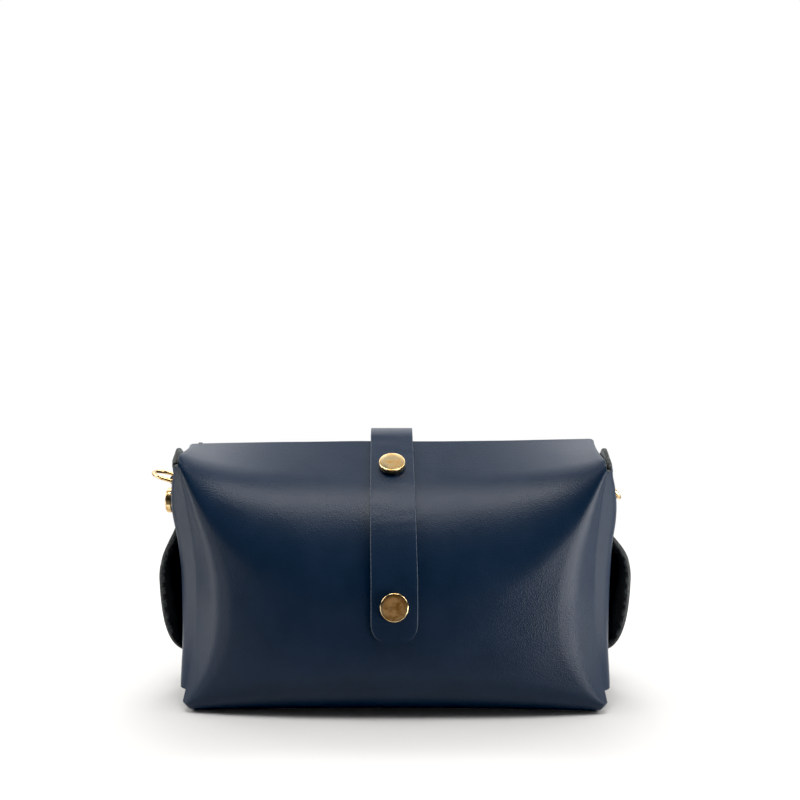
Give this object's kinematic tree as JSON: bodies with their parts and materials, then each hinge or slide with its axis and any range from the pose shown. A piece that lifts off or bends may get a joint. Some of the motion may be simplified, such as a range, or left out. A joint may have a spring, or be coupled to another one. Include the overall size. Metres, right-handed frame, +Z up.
{
  "type": "mini handbag",
  "caption": "Small box-shaped handbag folded from one piece of smooth leather, with wrapped side wings, a studded strap closing the mouth, and a swinging ring at each side for a shoulder strap.",
  "frame": {"origin": "middle of the flat base, on the ground", "axes": "+X along the bag's width to the right as seen from the front, +Y from the front to the back, +Z up"},
  "size_m": [0.2279, 0.1099, 0.1227],
  "materials": {
    "navy_leather": "smooth, semi-gloss",
    "dark_leather": "matt",
    "gold_metal": "polished gold plating"
  },
  "bodies": {
    "bag": {"body_leather": "navy_leather", "closing_strap": "navy_leather", "front_snap": "gold_metal", "upper_stud": "gold_metal", "back_stud": "gold_metal", "side_stud_left": "gold_metal", "side_stud_right": "gold_metal", "ring_tab_left": "dark_leather", "ring_tab_right": "dark_leather"},
    "left_ring": {"strap_ring_left": "gold_metal"},
    "right_ring": {"strap_ring_right": "gold_metal"}
  },
  "joints": [
    {"name": "left_ring_swing", "type": "hinge", "parent": "bag", "child": "left_ring", "pos_m": [-0.1043, 0, 0.0984], "axis": [0, 1, 0], "range_deg": [-64, 76]},
    {"name": "right_ring_swing", "type": "hinge", "parent": "bag", "child": "right_ring", "pos_m": [0.09979, 0, 0.0984], "axis": [0, -1, 0], "range_deg": [-1, 140]}
  ]
}
